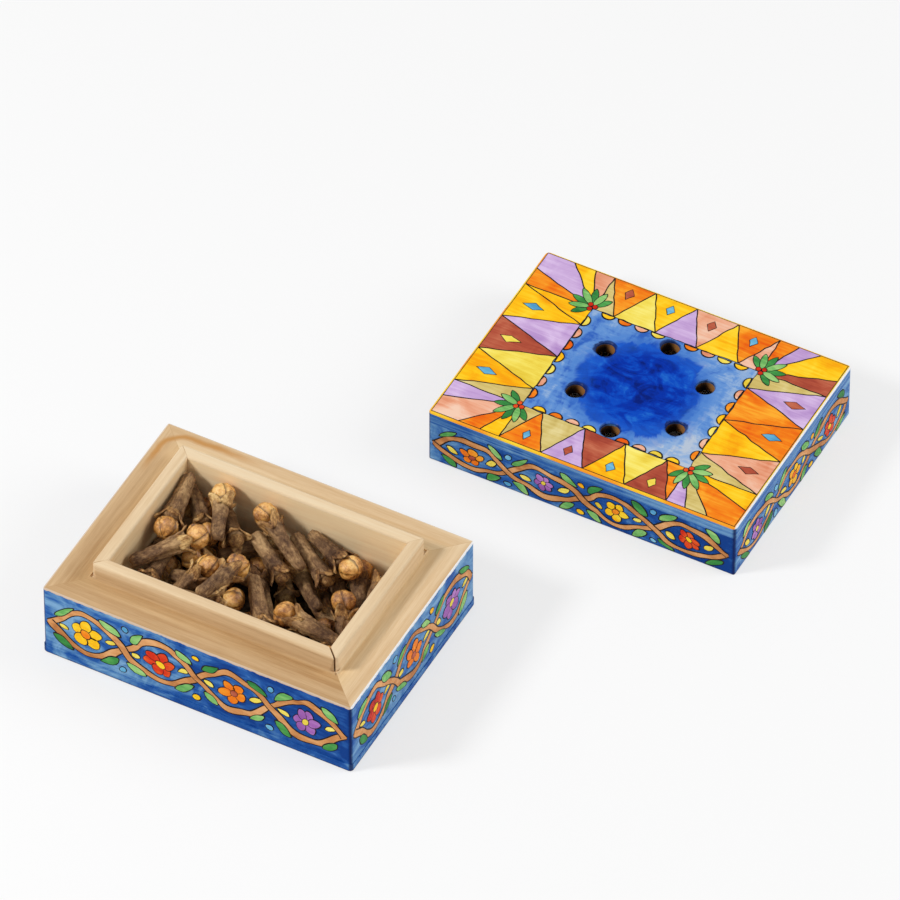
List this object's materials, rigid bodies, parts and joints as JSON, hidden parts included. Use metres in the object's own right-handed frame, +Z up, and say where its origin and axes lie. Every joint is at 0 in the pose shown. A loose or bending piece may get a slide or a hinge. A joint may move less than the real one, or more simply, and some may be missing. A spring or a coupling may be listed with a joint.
{
  "type": "spice box",
  "caption": "Small painted wooden spice box with a lift-off vented lid, shown open with whole cloves in the tray.",
  "frame": {"origin": "centre of the tray's underside, on the surface it stands on", "axes": "+Z up, out of the open tray; +X along the tray's long side to the right; +Y to the back, towards the lid that lies off"},
  "size_m": [0.1127, 0.1354, 0.0223],
  "materials": {
    "bare_wood": "sanded, unfinished",
    "painted_wood": "painted, satin lacquer",
    "dried_clove": "dried flower bud, woody, matt and wrinkled"
  },
  "bodies": {
    "box": {"base_floor_board": "bare_wood", "base_front_rail": "bare_wood", "base_right_rail": "bare_wood", "base_back_rail": "bare_wood", "base_left_rail": "bare_wood", "cloves": "dried_clove"},
    "lid": {"lid_top_board": "painted_wood", "lid_front_rail": "painted_wood", "lid_right_rail": "painted_wood", "lid_back_rail": "painted_wood", "lid_left_rail": "painted_wood"}
  },
  "joints": [
    {"name": "lid_lift", "type": "slide", "parent": "box", "child": "lid", "axis": [0, 0, 1], "range_m": [0, 0.05]}
  ]
}
